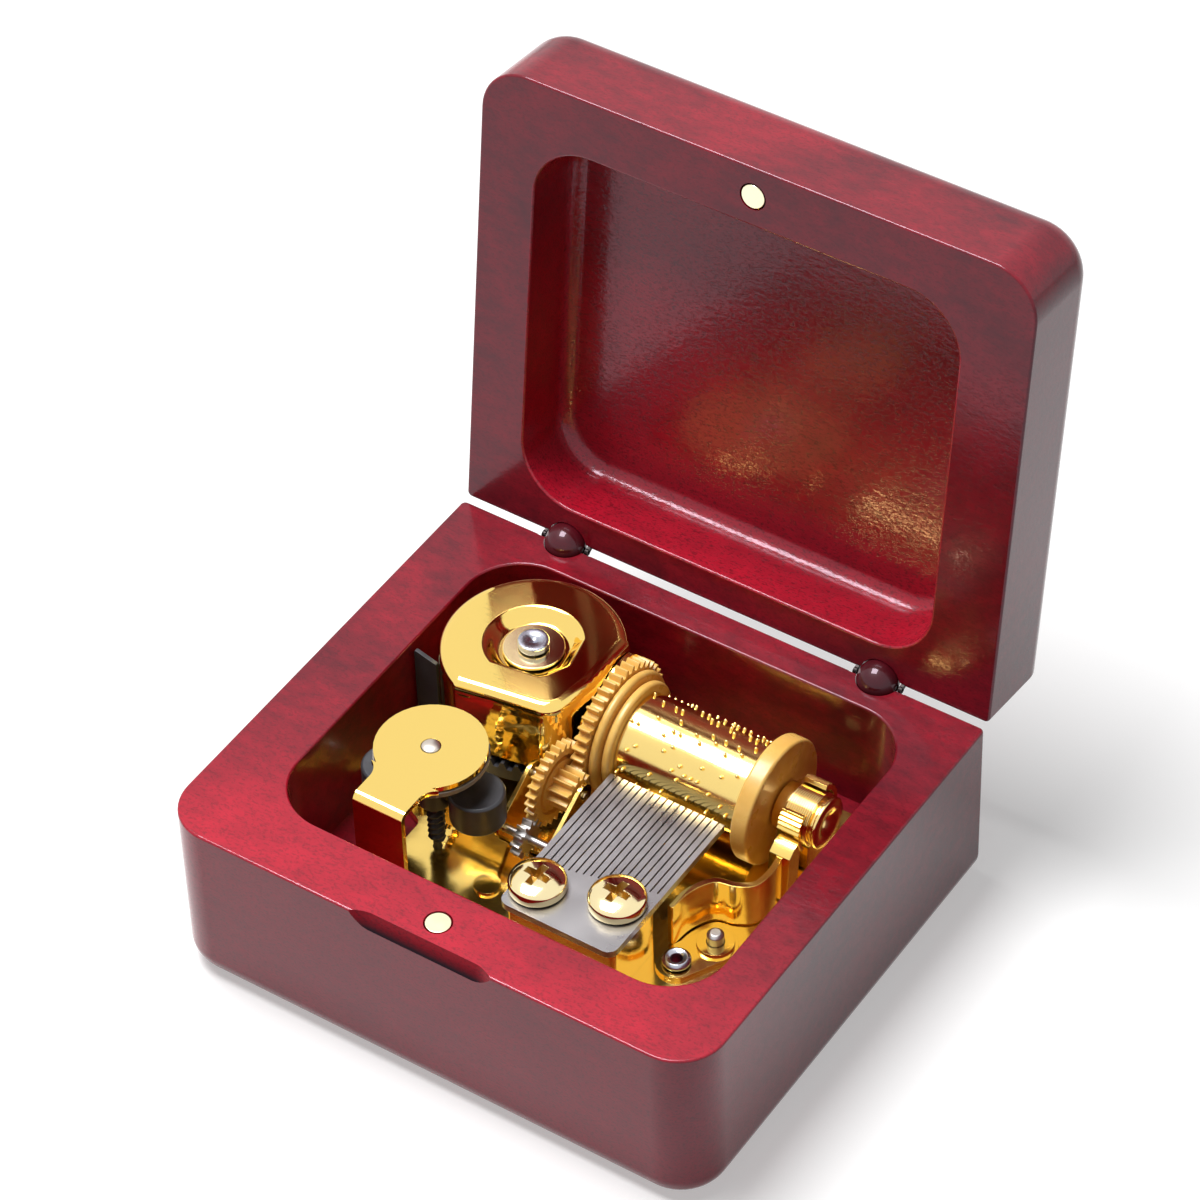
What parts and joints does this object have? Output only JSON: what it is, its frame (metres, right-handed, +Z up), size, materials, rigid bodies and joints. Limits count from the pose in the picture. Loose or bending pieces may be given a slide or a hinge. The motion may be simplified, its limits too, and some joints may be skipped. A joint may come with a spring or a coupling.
{
  "type": "wooden music box",
  "caption": "Rounded wooden box with a lid on ball hinges and a wind-up comb movement: spring can, pinned cylinder, steel comb, gear train and weighted governor.",
  "frame": {"origin": "centre of the case's underside", "axes": "+Z up; +X to the right and -Y to the front, seen by someone who opens the lid from the front"},
  "size_m": [0.0848, 0.0965, 0.0996],
  "materials": {
    "wood": "burgundy lacquer over fine grain",
    "gold": "polished gold plate",
    "cream": "honey-coloured moulded plastic",
    "black": "charcoal moulded plastic",
    "steel": "brushed",
    "brass": "pale, turned",
    "dark_steel": "blackened",
    "smoked": "smoked, translucent",
    "pivot": "smooth",
    "magnet": "pale plate"
  },
  "bodies": {
    "case_body": {"case": "wood", "hinge_ball_left": "wood", "hinge_ball_right": "wood", "hinge_pin_left": "dark_steel", "hinge_pin_right": "dark_steel", "case_magnet": "magnet", "case_screw_1": "steel", "case_screw_2": "steel", "case_screw_3": "steel", "bedplate": "gold", "spring_can": "gold", "can_washer": "brass", "mainspring": "steel", "cylinder_ear": "gold", "train_bracket": "gold", "governor_bracket": "gold", "governor_pivot": "pivot", "brake_disc": "smoked", "cylinder_bush": "brass", "bush_strap": "gold", "eyelet": "steel", "side_shim": "black", "music_comb": "steel", "comb_screw_left": "brass", "comb_screw_right": "brass"},
    "lid_body": {"lid": "wood", "lid_magnet": "magnet", "hinge_yoke_left": "dark_steel", "hinge_yoke_right": "dark_steel"},
    "drive": {"drive_gear": "black"},
    "cylinder": {"cylinder_wheel": "cream", "pin_cylinder": "gold", "cylinder_end_disc": "cream", "cylinder_arbor": "steel"},
    "second": {"second_wheel": "cream", "second_arbor": "steel"},
    "third": {"third_arbor": "steel", "worm_wheel": "brass"},
    "governor": {"governor_rotor": "black", "governor_weight_left": "black", "governor_weight_right": "black"},
    "key": {"winding_key": "steel", "spring_arbor": "steel"}
  },
  "joints": [
    {"name": "lid_hinge", "type": "hinge", "parent": "case_body", "child": "lid_body", "pos_m": [0, 0.03658, 0.0279], "axis": [1, 0, 0], "range_deg": [0, 97.3]},
    {"name": "cylinder_spin", "type": "hinge", "parent": "case_body", "child": "cylinder", "pos_m": [0, 0.01657, 0.0201], "axis": [1, 0, 0], "continuous": true},
    {"name": "drive_spin", "type": "hinge", "parent": "case_body", "child": "drive", "pos_m": [-0.01727, 0.01657, 0], "axis": [0, 0, 1], "continuous": true},
    {"name": "second_spin", "type": "hinge", "parent": "case_body", "child": "second", "pos_m": [0, 0.00415, 0.0193], "axis": [1, 0, 0], "continuous": true},
    {"name": "third_spin", "type": "hinge", "parent": "case_body", "child": "third", "pos_m": [0, -0.00305, 0.01497], "axis": [1, 0, 0], "continuous": true},
    {"name": "governor_spin", "type": "hinge", "parent": "case_body", "child": "governor", "pos_m": [-0.01767, -0.00735, 0], "axis": [0, 0, 1], "continuous": true},
    {"name": "key_turn", "type": "hinge", "parent": "case_body", "child": "key", "pos_m": [-0.01727, 0.01657, 0], "axis": [0, 0, 1], "continuous": true}
  ],
  "couplings": [
    {"joint": "drive_spin", "follows": "cylinder_spin", "ratio": 0.33333},
    {"joint": "second_spin", "follows": "cylinder_spin", "ratio": -3.8182},
    {"joint": "third_spin", "follows": "cylinder_spin", "ratio": 8.9091},
    {"joint": "governor_spin", "follows": "cylinder_spin", "ratio": 178.18}
  ]
}
